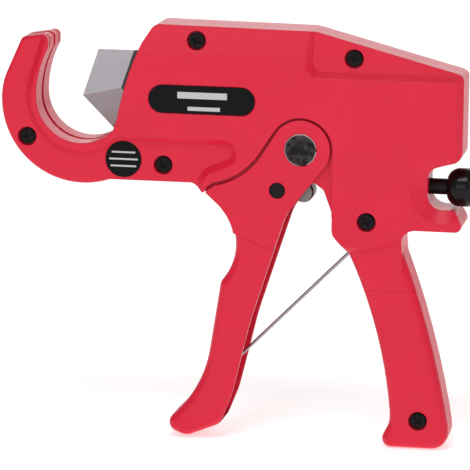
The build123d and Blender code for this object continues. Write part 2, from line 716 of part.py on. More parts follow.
def drive_pawl():
    """The pawl that turns the ratchet wheel: a link with its nose just clear of the teeth."""
    x, z = pawl_pin_place()
    hx, hz = HEEL
    nose = polar(PX, PZ, WHEEL_RADIUS + PAWL_LIFT, DRIVE_NOSE_ANGLE)
    along = math.atan2(hz - z, hx - x)
    side = (-math.sin(along) * 3.2, math.cos(along) * 3.2)
    link = area((x + side[0], z + side[1]), (x - side[0], z - side[1]), (hx - side[0], hz - side[1]),
                (hx + side[0], hz + side[1]))
    tooth = area((hx - 4.2, hz + 1.6), nose, (hx + 3.2, hz + 1.8), (hx, hz))
    plate = link + Pos(x, z) * Circle(4.2) + Pos(hx, hz) * Circle(3.9) + tooth
    body = slab(plate, WHEEL_Y, WHEEL_Y + WHEEL_THICK)
    body -= disc(x, z, PAWL_PIN_RADIUS + RUNNING_GAP, -HALF, HALF)
    return body - disc(hx, hz, HEEL_STUD, -HALF, HALF)


def pawl_heel():
    """The polished steel roll riveted to the pawl's free end."""
    roll = disc(*HEEL, HEEL_RADIUS, -HEEL_REACH, WHEEL_Y)
    roll = chamfer(roll.edges().group_by(Axis.Y)[0], 0.8)
    return roll + disc(*HEEL, HEEL_STUD, WHEEL_Y, WHEEL_Y + WHEEL_THICK)


def leg_root():
    """Where the long leg of the trigger spring leaves its coil, below the mandrel."""
    x, z, _ = SCREWS["rear"]
    reach = math.dist(LEG_TIP, (x, z))
    to_tip = math.degrees(math.atan2(LEG_TIP[1] - z, LEG_TIP[0] - x))
    return polar(x, z, COIL_RADIUS, to_tip + math.degrees(math.acos(COIL_RADIUS / reach)))


def trigger_spring():
    """The torsion spring that opens the trigger: a coil on its mandrel, a long leg and a short one."""
    x, z, _ = SCREWS["rear"]
    coil = ring(x, z, COIL_RADIUS + WIRE / 2, COIL_RADIUS - WIRE / 2, -WIRE / 2, COIL_LENGTH)
    leg_x, leg_z = leg_root()
    along = Vector(leg_x - LEG_TIP[0], 0, leg_z - LEG_TIP[1])
    leg = extrude(Plane((LEG_TIP[0], 0, LEG_TIP[1]), z_dir=along) * Circle(WIRE / 2), along.length)
    anchor = Plane((x + COIL_RADIUS, COIL_LENGTH - WIRE / 2, z), z_dir=(0, 0, 1))
    return coil + leg + extrude(anchor * Circle(WIRE / 2), ANCHOR_LENGTH)


# ---------------------------------------------------------------- holding pawl and release
def hold_pawl():
    """The pawl that stops the wheel running back, lifted off by the release rod."""
    x, z = HOLD_PIN
    nose = polar(PX, PZ, WHEEL_RADIUS + PAWL_LIFT, HOLD_NOSE_ANGLE)
    arm = area((x - 3.4, z), (nose[0] + 3.6, nose[1] - 5.0), nose, (nose[0] + 5.4, nose[1] + 1.6),
               (x + 2.2, ROD_Z + 2.0), (x + 3.4, z))
    body = slab(arm + Pos(x, z) * Circle(3.4), WHEEL_Y, WHEEL_Y + WHEEL_THICK)
    body -= disc(x, z, PIN_RADIUS + RUNNING_GAP, -HALF, HALF)
    return body - disc(CROSS_PIN_X, ROD_Z, CROSS_PIN_RADIUS + 0.75, -HALF, HALF)


def hold_pawl_pin():
    """The holding pawl's pin, seated in both shells."""
    return disc(*HOLD_PIN, PIN_RADIUS, -PIN_HALF, PIN_HALF)


def release_rod():
    """The rod pulled to let the blade back: round behind, a flat tongue in front."""
    tongue = slab(box_face(CROSS_PIN_X - 2.0, ROD_Z - 2.4, TONGUE_END, ROD_Z + 2.4), -2.9, 2.9)
    rod = tongue + bar_x(ROD_Z, ROD_RADIUS, TONGUE_END, KNOB_X)
    rod += bar_x(ROD_Z, ROD_STUD, KNOB_X, KNOB_X + STUD_LENGTH)
    return rod - disc(CROSS_PIN_X, ROD_Z, CROSS_PIN_RADIUS, -HALF, HALF)


def rod_cross_pin():
    """The pin in the rod's tongue that draws the holding pawl back."""
    return disc(CROSS_PIN_X, ROD_Z, CROSS_PIN_RADIUS, -2.9, WHEEL_Y + WHEEL_THICK + 0.2)


def rod_collar():
    """The ring on the rod that the release spring pushes on."""
    return (bar_x(ROD_Z, COLLAR_RADIUS, COLLAR_X, COLLAR_X + COLLAR_THICK)
            - bar_x(ROD_Z, ROD_RADIUS, COLLAR_X - 1, COLLAR_X + COLLAR_THICK + 1))


def release_spring():
    """The compression spring between the collar and the housing's rear wall."""
    low_x = COLLAR_X + COLLAR_THICK + 0.1
    return (bar_x(ROD_Z, COLLAR_RADIUS, low_x, NOTCH_WALL_X)
            - bar_x(ROD_Z, ROD_RADIUS + 0.2, low_x - 1, NOTCH_WALL_X + 1))


def release_knob():
    """The round pull knob screwed on the rod."""
    knob = bar_x(ROD_Z, KNOB_RADIUS, KNOB_X, KNOB_X + KNOB_LENGTH)
    knob = fillet(knob.edges().group_by(Axis.X)[-1], KNOB_REAR_ROUND)
    knob = fillet(knob.edges().group_by(Axis.X)[0], KNOB_FRONT_ROUND)
    return knob - bar_x(ROD_Z, ROD_STUD, KNOB_X - 1, KNOB_X + STUD_LENGTH)


def main():
    os.makedirs("parts", exist_ok=True)
    half = housing_half()
    nodes = {"near_shell": near_shell(half), "far_shell": far_shell(half)}
    for make in (shell_screws, dowels, name_plate, safety_disc, pivot_bolt, pivot_nut, feed_pinion,
                 ratchet_wheel, blade, blade_holder, holder_screws, return_spring, spring_post,
                 rear_buffer, trigger, pawl_pin, pawl_spacer, pawl_spring, drive_pawl, pawl_heel,
                 trigger_spring, hold_pawl, hold_pawl_pin, release_rod, rod_cross_pin, rod_collar,
                 release_spring, release_knob):
        nodes[make.__name__] = make()
    for name, shape in nodes.items():
        export_step(shape, f"parts/{name}.step")


if __name__ == "__main__":
    main()
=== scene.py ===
"""The looks of a one-hand ratchet shear for plastic pipe, put on its working frame piece by piece."""
import math

import bpy
import numpy as np
from mathutils import Matrix, Vector


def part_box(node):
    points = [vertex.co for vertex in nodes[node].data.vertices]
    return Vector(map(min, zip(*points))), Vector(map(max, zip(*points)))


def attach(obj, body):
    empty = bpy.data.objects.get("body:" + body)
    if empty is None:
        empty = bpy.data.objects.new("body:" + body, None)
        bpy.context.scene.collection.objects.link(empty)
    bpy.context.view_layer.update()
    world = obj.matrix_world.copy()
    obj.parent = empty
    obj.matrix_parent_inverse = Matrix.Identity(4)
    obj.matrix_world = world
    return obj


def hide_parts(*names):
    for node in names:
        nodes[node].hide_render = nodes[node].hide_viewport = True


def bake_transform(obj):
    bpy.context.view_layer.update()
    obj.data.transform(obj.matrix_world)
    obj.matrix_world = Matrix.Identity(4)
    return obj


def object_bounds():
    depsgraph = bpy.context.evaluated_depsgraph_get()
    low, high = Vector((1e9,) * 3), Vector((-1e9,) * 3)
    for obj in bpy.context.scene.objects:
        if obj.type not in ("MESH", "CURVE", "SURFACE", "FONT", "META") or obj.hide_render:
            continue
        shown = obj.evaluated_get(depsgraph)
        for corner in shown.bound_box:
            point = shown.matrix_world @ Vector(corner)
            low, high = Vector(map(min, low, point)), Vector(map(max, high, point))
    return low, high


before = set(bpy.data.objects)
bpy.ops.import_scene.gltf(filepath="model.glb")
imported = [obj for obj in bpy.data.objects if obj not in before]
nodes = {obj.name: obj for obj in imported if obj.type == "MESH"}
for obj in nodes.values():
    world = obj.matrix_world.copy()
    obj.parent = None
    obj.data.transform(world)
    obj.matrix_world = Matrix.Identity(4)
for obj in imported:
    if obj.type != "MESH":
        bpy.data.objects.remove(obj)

cad_box = [list(corner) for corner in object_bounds()]

# ---------------------------------------------------------------- housing halves
# The two halves are die-cast aluminium, shot-blasted and powder-coated in a satin signal red.
# The coat flows out a little in the oven, so it has a fine orange peel and small changes of gloss.
MM = 0.001


class Signal:
    """One output in a shader. Python's operators on it add Math nodes, so a pattern reads as a formula."""

    def __init__(self, finish, socket):
        self.finish = finish
        self.socket = socket

    def maths(self, operation, first, second=0.0):
        return self.finish.add("ShaderNodeMath", {"operation": operation}, {0: first, 1: second})

    def __add__(self, other):
        return self.maths("ADD", self, other)

    def __radd__(self, other):
        return self.maths("ADD", other, self)

    def __sub__(self, other):
        return self.maths("SUBTRACT", self, other)

    def __rsub__(self, other):
        return self.maths("SUBTRACT", other, self)

    def __mul__(self, other):
        return self.maths("MULTIPLY", self, other)

    def __rmul__(self, other):
        return self.maths("MULTIPLY", other, self)

    def __truediv__(self, other):
        return self.maths("DIVIDE", self, other)

    def __gt__(self, other):
        return self.maths("GREATER_THAN", self, other)

    def __lt__(self, other):
        return self.maths("LESS_THAN", self, other)

    def __abs__(self):
        return self.maths("ABSOLUTE", self)

    def __pow__(self, other):
        return self.maths("POWER", self, other)

    def larger(self, other):
        return self.maths("MAXIMUM", self, other)

    def smaller(self, other):
        return self.maths("MINIMUM", self, other)


class Finish:
    """One material: a principled shader with its constants on its own sockets, and nodes added to it."""

    def __init__(self, name, **constants):
        self.material = bpy.data.materials.new(name)
        self.material.use_nodes = True
        self.tree = self.material.node_tree
        self.shader = self.tree.nodes["Principled BSDF"]
        for socket, value in constants.items():
            self.shader.inputs[socket.replace("_", " ")].default_value = value

    def add(self, kind, settings=None, sockets=None, output=0):
        """A node of this kind: its settings first, then its sockets' values or links. Gives one output."""
        node = self.tree.nodes.new(kind)
        for setting, value in (settings or {}).items():
            if setting == "stops":
                ramp = node.color_ramp
                while len(ramp.elements) < len(value):
                    ramp.elements.new(1.0)
                for element, (place, shade) in zip(ramp.elements, value):
                    element.position = place
                    element.color = shade
            else:
                setattr(node, setting, value)
        for socket, value in (sockets or {}).items():
            if isinstance(value, Signal):
                self.tree.links.new(value.socket, node.inputs[socket])
            else:
                node.inputs[socket].default_value = value
        return Signal(self, node.outputs[output])

    def feed(self, **varying):
        """Links what changes over the surface to the shader's sockets."""
        for socket, signal in varying.items():
            self.tree.links.new(signal.socket, self.shader.inputs[socket.replace("_", " ")])

    def place(self):
        """The point on the surface, in the piece's own coordinates, and its three parts in metres."""
        point = self.add("ShaderNodeTexCoord", output="Object")
        parts = [self.add("ShaderNodeSeparateXYZ", sockets={0: point}, output=i) for i in range(3)]
        return point, *parts

    def noise(self, point, size, detail=3.0, stretch=(1, 1, 1)):
        """Soft noise from 0 to 1 whose lumps are about this size in metres, longer along a stretched axis."""
        scaled = self.add("ShaderNodeVectorMath", {"operation": "DIVIDE"},
                          {0: point, 1: tuple(size * s for s in stretch)})
        return self.add("ShaderNodeTexNoise", None, {"Vector": scaled, "Scale": 1.0, "Detail": detail})

    def blend(self, share, first, second):
        """A colour between two others."""
        return self.add("ShaderNodeMix", {"data_type": "RGBA"}, {0: share, 6: first, 7: second}, output=2)

    def bumps(self, height, depth, edge=0.0):
        """The surface's normal, tilted by a height from 0 to 1 that stands for this many metres. With an edge
        radius, sharp edges are shaded as if they were rounded to it."""
        sockets = {"Height": height, "Distance": depth}
        if edge:
            sockets["Normal"] = self.add("ShaderNodeBevel", {"samples": 6}, {"Radius": edge})
        return self.add("ShaderNodeBump", None, sockets)

    def coat(self, piece):
        """Puts this finish on a piece in place of what it has."""
        piece.data.materials.clear()
        piece.data.materials.append(self.material)


DEEP_RED = (0.680, 0.0085, 0.036, 1)
BRIGHT_RED = (0.745, 0.0140, 0.051, 1)
CAST_EDGE = 0.8 * MM                       # rounding of the castings' edges
PEEL_HEIGHT = 0.008                        # heights in the coat, in millimetres
GRIT_HEIGHT = 0.004
RIDGE_HEIGHT = 0.22
RIDGE = (132.0 * MM, -84.0 * MM)           # a point (x, z) on the ridge, at the handle's front
RIDGE_SLOPE = 0.034
RIDGE_WIDTH = 0.5 * MM
RIDGE_FROM = 120 * MM                      # the trigger, which has no ridge, is all in front of this


def powder_coat():
    """Red powder coat: two close reds in soft clouds, orange peel about a millimetre across. A faint ridge
    left by the die crosses the handle: the height goes from 0 to 1 within a width below a slanting line."""
    finish = Finish("satin_red_powder_coat", IOR=1.5, Specular_IOR_Level=0.28)
    point, x, _, z = finish.place()
    clouds = finish.noise(point, 18 * MM, detail=4.0)
    peel = finish.noise(point, 0.9 * MM, detail=2.0)
    grit = finish.noise(point, 0.18 * MM, detail=1.0)
    line = RIDGE[1] + RIDGE_SLOPE * (x - RIDGE[0])
    ridge = ((line - z) / RIDGE_WIDTH).larger(0.0).smaller(1.0) * (x > RIDGE_FROM)
    relief = PEEL_HEIGHT * peel + GRIT_HEIGHT * grit + RIDGE_HEIGHT * ridge
    finish.feed(
        Base_Color=finish.blend(clouds, DEEP_RED, BRIGHT_RED),
        Roughness=0.27 + 0.07 * clouds + 0.05 * grit,
        Normal=finish.bumps(relief, MM, edge=CAST_EDGE),
    )
    return finish


red_paint = powder_coat()
for name in ("near_shell", "far_shell"):
    red_paint.coat(nodes[name])

# ---------------------------------------------------------------- trigger
# One die-cast lever with two cheeks round a channel that is open at the back, where the spring's leg
# lies. It is blasted and painted with the housing, so it has the same red coat.
red_paint.coat(nodes["trigger"])

# ---------------------------------------------------------------- housing screws
# Six pan-head machine screws with a cross recess, in blackened steel. Each sits in a counterbore of the
# near half and is threaded into the far one.
HEAD_RADIUS = 3.7 * MM
HEAD_HEIGHT = 2.4 * MM
SHANK_RADIUS = 2.0 * MM
RECESS_DEPTH = 1.25 * MM
RECESS_REACH = 2.15 * MM
RECESS_HALF = 0.46 * MM
RECESS_RISE = 0.55                         # how much shallower the recess is at its ends, as a share
CROWN_RISE = 0.55 * MM                     # the head's face from its middle to its shoulder
CROWN_REACH = 0.985 * HEAD_RADIUS
SHOULDER = 0.9 * MM
FACE_LIMIT = 1.2 * MM                      # the recess is cut only in what lies in front of this
BLACK_OXIDE = ((0.004, 0.0035, 0.004, 1), (0.014, 0.011, 0.012, 1))
SCREW_TURNS = (12, 63, 35, 80, 20, 48)     # how far each recess stands round, in degrees
SCREW_SPACING = 8 * MM                     # more than any gap between the points of one screw


def step_between(low, high, value):
    """0 below low, 1 above high and 3t² − 2t³ between, t being the share of the way."""
    t = np.clip((value - low) / (high - low), 0, 1)
    return t * t * (3 - 2 * t)


def skin(name, grid, ends, finish):
    """A closed mesh on a grid of points: rows along the piece, columns round it, a point to close each end.
    The faces are turned outwards by the sign of the volume, the sum of a·(b×c)/6 over the triangles."""
    rows, columns = grid.shape[:2]
    row = np.arange(rows - 1)[:, None] * columns
    here = np.arange(columns)[None, :]
    there = (here + 1) % columns
    quads = np.stack([row + here, row + there, row + columns + there, row + columns + here], -1)
    quads = quads.reshape(-1, 4)
    first, last = rows * columns, rows * columns + 1
    top = (rows - 1) * columns
    start_fan = np.stack([there[0], here[0], np.full(columns, first)], -1)
    end_fan = np.stack([top + here[0], top + there[0], np.full(columns, last)], -1)
    points = np.vstack([grid.reshape(-1, 3), ends])
    halves = np.vstack([quads[:, [0, 1, 2]], quads[:, [0, 2, 3]], start_fan, end_fan])
    a, b, c = points[halves[:, 0]], points[halves[:, 1]], points[halves[:, 2]]
    inside_out = np.einsum("ij,ij->i", a - points[0], np.cross(b - points[0], c - points[0])).sum() < 0
    turn = slice(None, None, -1 if inside_out else 1)
    faces = [*quads[:, turn].tolist(), *start_fan[:, turn].tolist(), *end_fan[:, turn].tolist()]
    mesh = bpy.data.meshes.new(name)
    mesh.from_pydata(points.tolist(), [], faces)
    mesh.shade_smooth()
    piece = bpy.data.objects.new(name, mesh)
    bpy.context.scene.collection.objects.link(piece)
    finish.coat(piece)
    return piece


def outline(corners, steps=6):
    """Points along a profile of (reach, height) corners. A run from corner A to corner B gives the points
    A + (B − A)·i/steps, and one more a fiftieth of the run from each corner, which keeps the shading's
    turn close to the corner."""
    corners = np.array(corners, float)
    share = np.concatenate([[0.0, 0.02], np.linspace(0, 1, steps + 1)[1:-1], [0.98]])
    runs = corners[:-1, None] * (1 - share[:, None]) + corners[1:, None] * share[:, None]
    return np.vstack([runs.reshape(-1, 2), corners[-1:]])


def turned(name, profile, centre, finish, dent, around=96):
    """A profile of (reach, height) carried round the Y axis through centre. Each point is centre +
    (reach·cos a, height + dent, reach·sin a), where the dent depends on the first and last of these."""
    angle = np.linspace(0, 2 * math.pi, around, endpoint=False)
    reach = profile[:, 0][:, None]
    across = reach * np.cos(angle)
    up = reach * np.sin(angle)
    along = profile[:, 1][:, None] + np.zeros_like(across)
    along = along + dent(across, up, along)
    ends = np.array([[0, along[0].mean(), 0], [0, along[-1].mean(), 0]])
    return skin(name, np.stack([across, along, up], -1) + centre, ends + centre, finish)


def blackened_steel():
    """Black oxide on turned steel: near-black with a faint brown cast, a thin film of oil, fine scratches."""
    finish = Finish("black_oxide_steel", Metallic=0.2, Specular_IOR_Level=0.15)
    point = finish.place()[0]
    film = finish.noise(point, 1.6 * MM, detail=4.0)
    scratches = finish.noise(point, 0.10 * MM, detail=2.0, stretch=(6, 1, 1))
    finish.feed(
        Base_Color=finish.blend(film, *BLACK_OXIDE),
        Roughness=0.26 + 0.20 * film + 0.08 * scratches,
        Normal=finish.bumps(0.5 * film + 0.5 * scratches, 0.010 * MM),
    )
    return finish


def cross_recess(turn):
    """A dent for a screw's head: a cross of two bars, deepest in the middle. Of a point's distances from the
    two bars' middle lines, near is the smaller and far the larger. The depth is the full depth times
    1 − rise·far/reach where near is under a bar's half width and far is under its reach."""
    cos_turn, sin_turn = math.cos(math.radians(turn)), math.sin(math.radians(turn))

    def dent(across, up, along):
        first = np.abs(across * cos_turn + up * sin_turn)
        second = np.abs(up * cos_turn - across * sin_turn)
        near, far = np.minimum(first, second), np.maximum(first, second)
        bar = step_between(RECESS_HALF * 1.25, RECESS_HALF * 0.8, near)
        end = step_between(RECESS_REACH * 1.08, RECESS_REACH * 0.9, far)
        slope = 1 - RECESS_RISE * far / RECESS_REACH
        return np.where(along < FACE_LIMIT, RECESS_DEPTH * bar * end * slope, 0)

    return dent


black_steel = blackened_steel()
screw_mesh = nodes["shell_screws"].data
screw_points = np.empty(len(screw_mesh.vertices) * 3)
screw_mesh.vertices.foreach_get("co", screw_points)
screw_points = screw_points.reshape(-1, 3)
slant = screw_points[:, 0] - screw_points[:, 2]          # no two screws are alike in x − z
order = np.argsort(slant)
groups = np.split(screw_points[order], np.flatnonzero(np.diff(slant[order]) > SCREW_SPACING) + 1)
crown = np.linspace(0, 1, 30)[1:]
head = np.stack([CROWN_REACH * crown, CROWN_RISE * crown ** 3], -1)
for number, (group, turn) in enumerate(zip(groups, SCREW_TURNS), 1):
    low, high = group.min(axis=0), group.max(axis=0)
    middle = (low + high) / 2
    rim = [(HEAD_RADIUS, SHOULDER), (HEAD_RADIUS, HEAD_HEIGHT), (SHANK_RADIUS, HEAD_HEIGHT),
           (SHANK_RADIUS, high[1] - low[1])]
    profile = np.vstack([head, outline(rim)])
    screw = turned(f"housing_screw_{number}", profile, np.array([middle[0], low[1], middle[2]]),
                   black_steel, cross_recess(turn))
    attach(screw, "housing")
    if number == 1:
        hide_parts("shell_screws")

# ---------------------------------------------------------------- main pivot
# A turned bolt with a wide flat head in the near cheek and a round nut in the far one, both blackened.
# The head's face is as forged, with shallow mottled dents, and its rim is worn bright.
PIVOT = (102.3 * MM, -20.0 * MM)
PIVOT_HEAD = 7.4 * MM
WORN_RIM = 0.42 * MM
WORN_STEEL = (0.52, 0.48, 0.48, 1)
FORGED_SCALE = ((0.010, 0.008, 0.009, 1), (0.085, 0.075, 0.077, 1))
SCALE_STOPS = ((0.42, (0, 0, 0, 1)), (0.78, (1, 1, 1, 1)))


def forged_head():
    """Black steel mottled by soft noise. Its rim is bright in patches, where the distance √(x² + z²) from
    the pivot's axis is within the worn width of the head's radius."""
    finish = Finish("forged_black_head", Metallic=0.6, Specular_IOR_Level=0.3)
    point, x, _, z = finish.place()
    mottle = finish.noise(point, 3.2 * MM)
    fine = finish.noise(point, 0.5 * MM, detail=3.0)
    reach = ((x - PIVOT[0]) ** 2.0 + (z - PIVOT[1]) ** 2.0) ** 0.5
    worn = (reach > PIVOT_HEAD - WORN_RIM) * (finish.noise(point, 5 * MM) > 0.42)
    patches = finish.add("ShaderNodeValToRGB", {"stops": SCALE_STOPS}, {"Fac": mottle})
    finish.feed(
        Base_Color=finish.blend(worn, finish.blend(patches, *FORGED_SCALE), WORN_STEEL),
        Roughness=0.34 + 0.18 * fine,
        Normal=finish.bumps(0.8 * mottle + 0.2 * fine, 0.16 * MM, edge=0.25 * MM),
    )
    return finish


forged_head().coat(nodes["pivot_bolt"])
black_steel.coat(nodes["pivot_nut"])

# ---------------------------------------------------------------- drive pawl
# A hardened link on a headed pin in the trigger. A ground steel roll is riveted to its free end, and a
# sleeve keeps it in line with the ratchet wheel.


def ground_steel(name, shade, dullness, grain):
    """Bare steel between a shade and four fifths of it, with marks that run along the stretched axis."""
    finish = Finish(name, Metallic=1.0)
    point = finish.place()[0]
    marks = finish.noise(point, 0.12 * MM, detail=3.0, stretch=grain)
    stain = finish.noise(point, 6 * MM, detail=4.0)
    dull = tuple(0.8 * part for part in shade) + (1,)
    finish.feed(
        Base_Color=finish.blend(0.5 * marks + 0.5 * stain, dull, shade + (1,)),
        Roughness=dullness + 0.12 * marks,
        Normal=finish.bumps(marks, 0.006 * MM, edge=0.15 * MM),
    )
    return finish


tool_steel = ground_steel("hardened_tool_steel", (0.30, 0.29, 0.28), 0.34, (1, 1, 12))
pin_steel = ground_steel("ground_pin_steel", (0.50, 0.49, 0.48), 0.24, (1, 14, 1))
roll_steel = ground_steel("worn_roll_steel", (0.24, 0.22, 0.22), 0.34, (1, 10, 1))
tool_steel.coat(nodes["drive_pawl"])
roll_steel.coat(nodes["pawl_heel"])
pin_steel.coat(nodes["pawl_spacer"])
black_steel.coat(nodes["pawl_pin"])

# ---------------------------------------------------------------- feed
# The pinion turns on the pivot bolt and the saw-toothed wheel is pressed on its hub. Both are hobbed or
# milled from tool steel, as is the holding pawl on its cross pin.
for name in ("feed_pinion", "ratchet_wheel", "hold_pawl"):
    tool_steel.coat(nodes[name])
pin_steel.coat(nodes["hold_pawl_pin"])

# ---------------------------------------------------------------- blade
# Rolled tool-steel plate with its two edges ground from both sides as broad flat bevels that meet at the
# point. Behind the bevels the plate keeps its dark skin from the mill. The plate is flat here, so only
# colour sets the bevels apart: the upper bevel is painted lit, and the lower is painted in shade with a
# reddish painted reflection of the housing.
TIP = (-1.8 * MM, -0.6 * MM)
UPPER = (5.5 * MM, 21.1 * MM)
LOWER = (21.1 * MM, -23.5 * MM)
GROUND_WIDTH = 16.0 * MM
MARK_LENGTH = 25.0                         # how many times longer than wide a grinding mark is
# Painted light: a lit copy of the ground steel for the upper bevel, a shaded reddish one for the lower.
PAINTED_LIT_BEVEL = ((0.36, 0.345, 0.37, 1), (0.52, 0.50, 0.53, 1))
PAINTED_SHADED_BEVEL = ((0.25, 0.21, 0.22, 1), (0.38, 0.33, 0.34, 1))
MILL_SKIN = ((0.050, 0.050, 0.052, 1), (0.095, 0.095, 0.098, 1))


def blade_steel():
    """Two ground bevels and a dark skin behind them. A point's depth from an edge is its offset from the
    edge's start times the edge's inward direction. It is on the bevel whose edge is nearer, or on the skin
    where both depths are over the ground width. Grinding marks run square to each edge."""
    finish = Finish("ground_blade_steel", Metallic=0.9)
    point, x, _, z = finish.place()
    depths, lines = [], []
    for start, end in ((UPPER, TIP), (TIP, LOWER)):
        length = math.dist(start, end)
        along = ((end[0] - start[0]) / length, (end[1] - start[1]) / length)
        depths.append((x - start[0]) * -along[1] + (z - start[1]) * along[0])
        lines.append((x - start[0]) * along[0] + (z - start[1]) * along[1])
    upper, lower = depths
    on_upper = upper < lower
    strip = upper.smaller(lower) > GROUND_WIDTH
    marks = []
    for depth, line in zip(depths, lines):
        place = finish.add("ShaderNodeCombineXYZ", None, {0: line, 1: depth / MARK_LENGTH})
        marks.append(finish.noise(place, 0.16 * MM, detail=3.0))
    grind = on_upper * marks[0] + (1.0 - on_upper) * marks[1]
    cloud = finish.noise(point, 7 * MM, detail=4.0)
    marbling = 0.6 * grind + 0.4 * cloud
    # Painted shade: the lower bevel takes the shaded reddish copy of the steel, the upper one the lit copy.
    bevels = finish.blend(on_upper, finish.blend(marbling, *PAINTED_SHADED_BEVEL), finish.blend(marbling, *PAINTED_LIT_BEVEL))
    finish.feed(
        Base_Color=finish.blend(strip, bevels, finish.blend(cloud, *MILL_SKIN)),
        Roughness=0.36 + 0.14 * grind + 0.12 * strip,
        Normal=finish.bumps(grind, 0.008 * MM, edge=0.1 * MM),
    )
    return finish


blade_steel().coat(nodes["blade"])

# ---------------------------------------------------------------- blade holder
# A milled fork that grips the tang between two grub screws, with the feed rack cut in its tail. The fork
# is tool steel and the screws are blackened.
tool_steel.coat(nodes["blade_holder"])
black_steel.coat(nodes["holder_screws"])

# ---------------------------------------------------------------- trigger spring
# One length of hard-drawn spring wire wound on the rear post. Its short leg stands against the housing and
# its long leg reaches down the inside of the trigger.
POST = np.array([133.1, 0.0, -52.0]) * MM
COIL_RADIUS = 5.0 * MM
WIRE_RADIUS = 0.75 * MM
LEG_TIP = np.array([63.6, 0.0, -129.9]) * MM
COIL_END_Y = 5.25 * MM
SHORT_LEG = 5.0 * MM
WHOLE_TURNS = 3
COIL_POINTS = 400
LONG_LEG_POINTS = 60
SHORT_LEG_POINTS = 8
X_AXIS, Y_AXIS = 0, 1


def wound(centre, axis, reach, angle, rise):
    """A winding round an axis through centre: reach·cos a and reach·sin a across the axis, rise along it."""
    parts = [reach * np.cos(angle), reach * np.sin(angle)]
    parts.insert(axis, rise)
    return centre + np.stack(parts, -1)


def wire(name, path, centre, axis, radius, around=16):
    """A round wire along a path: each point is path + radius·(u·cos a + v·sin a), where u is the part of
    the direction out from the winding's axis that is square to the path, and v is square to both."""
    along = np.gradient(path, axis=0)
    along /= np.linalg.norm(along, axis=1, keepdims=True)
    out = path - centre
    out[:, axis] = 0
    out = out - (out * along).sum(1, keepdims=True) * along
    out /= np.linalg.norm(out, axis=1, keepdims=True)
    side = np.cross(along, out)
    angle = np.linspace(0, 2 * math.pi, around, endpoint=False)
    ring = np.cos(angle)[None, :, None] * out[:, None] + np.sin(angle)[None, :, None] * side[:, None]
    piece = skin(name, path[:, None] + radius * ring, path[[0, -1]], spring_steel)
    return piece


spring_steel = ground_steel("drawn_spring_wire", (0.40, 0.39, 0.40), 0.30, (4, 4, 4))
tip_x, _, tip_z = LEG_TIP - POST
leg_start = math.atan2(tip_z, tip_x) + math.acos(COIL_RADIUS / math.hypot(tip_x, tip_z))
coil = wound(POST, Y_AXIS, COIL_RADIUS, np.linspace(leg_start, 2 * math.pi * WHOLE_TURNS, COIL_POINTS),
             np.linspace(0, COIL_END_Y, COIL_POINTS))
long_leg = LEG_TIP + (coil[0] - LEG_TIP) * np.linspace(0, 1, LONG_LEG_POINTS, endpoint=False)[:, None]
short_rise = np.linspace(0, SHORT_LEG, SHORT_LEG_POINTS + 1)[1:, None]
short_leg = coil[-1] + short_rise * np.array([0.0, 0.0, 1.0])
trigger_spring = wire("wound_trigger_spring", np.vstack([long_leg, coil, short_leg]), POST, Y_AXIS,
                      WIRE_RADIUS)
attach(trigger_spring, "trigger_spring")
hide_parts("trigger_spring")

# ---------------------------------------------------------------- pawl spring
# A small close-wound torsion spring round the pawl's sleeve, which lifts the pawl to the wheel. It is
# made of the same drawn wire as the trigger spring, only thinner.
PAWL_WIRE = 0.49 * MM
PAWL_TURNS = 3


def room_for(node):
    """The middle of a spring's CAD stand-in and half its size along each axis."""
    low, high = (np.array(corner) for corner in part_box(node))
    return (low + high) / 2, (high - low) / 2


sleeve, sleeve_half = room_for("pawl_spring")
share = np.linspace(0, 1, 200)
pawl_path = wound(sleeve, Y_AXIS, sleeve_half[0] - PAWL_WIRE, 2 * math.pi * PAWL_TURNS * share,
                  (sleeve_half[1] - PAWL_WIRE) * (2 * share - 1))
pawl_spring = wire("wound_pawl_spring", pawl_path, sleeve, Y_AXIS, PAWL_WIRE)
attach(pawl_spring, "trigger")
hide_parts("pawl_spring")

# ---------------------------------------------------------------- return spring
# A long extension spring hooked between the holder's lug and its post. It draws out and closes up as the
# blade travels. Here it is wound once, at the length of its stand-in.
RETURN_WIRE = 0.58 * MM
RETURN_TURNS = 14
STRAIGHT_END = 0.02                        # share of the length that is straight at each end
EASE = 0.05                                # share over which the wire bends into the winding
drawn, drawn_half = room_for("return_spring")
share = np.linspace(0, 1, 900)
rate = (step_between(STRAIGHT_END, STRAIGHT_END + EASE, share)
        * step_between(1 - STRAIGHT_END, 1 - STRAIGHT_END - EASE, share))
return_turn = 2 * math.pi * RETURN_TURNS * np.cumsum(rate) / rate.sum()
return_path = wound(drawn, X_AXIS, drawn_half[2] - RETURN_WIRE, return_turn, drawn_half[0] * (2 * share - 1))
return_spring = wire("wound_return_spring", return_path, drawn, X_AXIS, RETURN_WIRE, around=10)
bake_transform(return_spring)
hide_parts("return_spring")
pin_steel.coat(nodes["spring_post"])

# ---------------------------------------------------------------- release spring
# A compression spring between the rod's collar and the rear wall, which pushes the knob back in. It
# closes up as the rod is pulled. Here it is wound once, at the length of its stand-in.
RELEASE_WIRE = 0.72 * MM
RELEASE_TURNS = 5
pressed, pressed_half = room_for("release_spring")
share = np.linspace(0, 1, 200)
release_path = wound(pressed, X_AXIS, pressed_half[2] - RELEASE_WIRE, 2 * math.pi * RELEASE_TURNS * share,
                     (pressed_half[0] - RELEASE_WIRE) * (2 * share - 1))
release_spring = wire("wound_release_spring", release_path, pressed, X_AXIS, RELEASE_WIRE)
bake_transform(release_spring)
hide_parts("release_spring")

# ---------------------------------------------------------------- release rod and knob
# The rod is turned steel, blackened, with a collar and a cross pin at its inner end. The knob screwed on
# its outer end is moulded in hard glossy black plastic.
KNOB_BLACK = (0.005, 0.004, 0.0045, 1)


